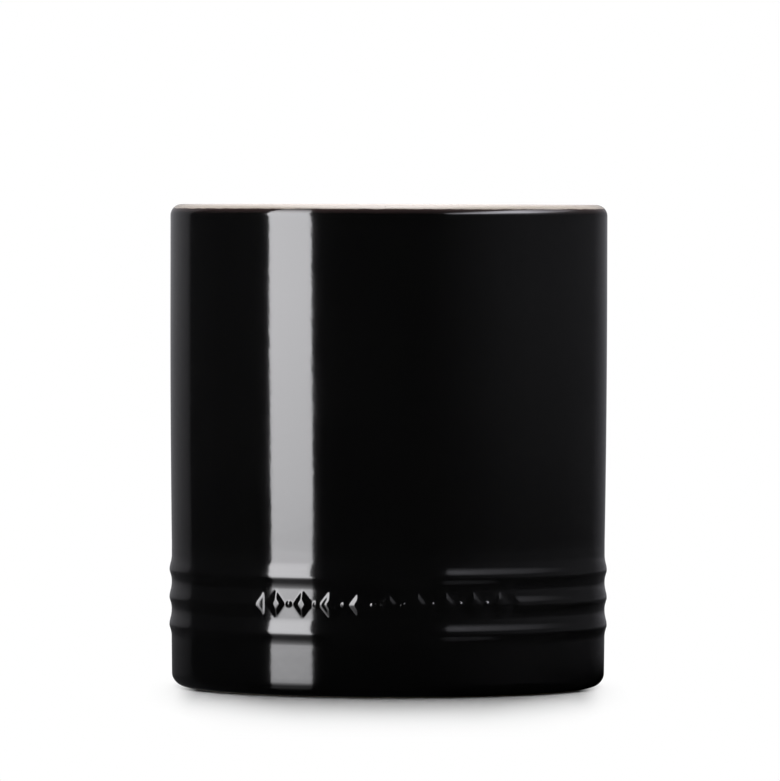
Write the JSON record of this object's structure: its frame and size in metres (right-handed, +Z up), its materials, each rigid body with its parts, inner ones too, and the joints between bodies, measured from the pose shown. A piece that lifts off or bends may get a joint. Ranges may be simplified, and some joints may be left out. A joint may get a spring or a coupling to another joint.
{
  "type": "utensil crock",
  "caption": "Straight-sided glazed stoneware crock with an open mouth, a round lip, raised ribs near its foot and a bare foot ring, for holding upright kitchen utensils.",
  "frame": {"origin": "centre of the foot's resting plane, at the bottom centre of the bounding box", "axes": "+Z up along the crock's axis, -Y towards the front with the relief, +X to the right seen from the front"},
  "size_m": [0.1552, 0.1552, 0.171],
  "materials": {
    "fired_clay": "bare fired stoneware, matt, fine grain",
    "dark_glaze": "gloss black glaze, brown where it thins",
    "sand_glaze": "gloss sand glaze"
  },
  "bodies": {
    "root": {"stoneware_body": "fired_clay", "outer_glaze": "dark_glaze", "liner_glaze": "sand_glaze", "base_glaze": "dark_glaze"}
  },
  "joints": []
}
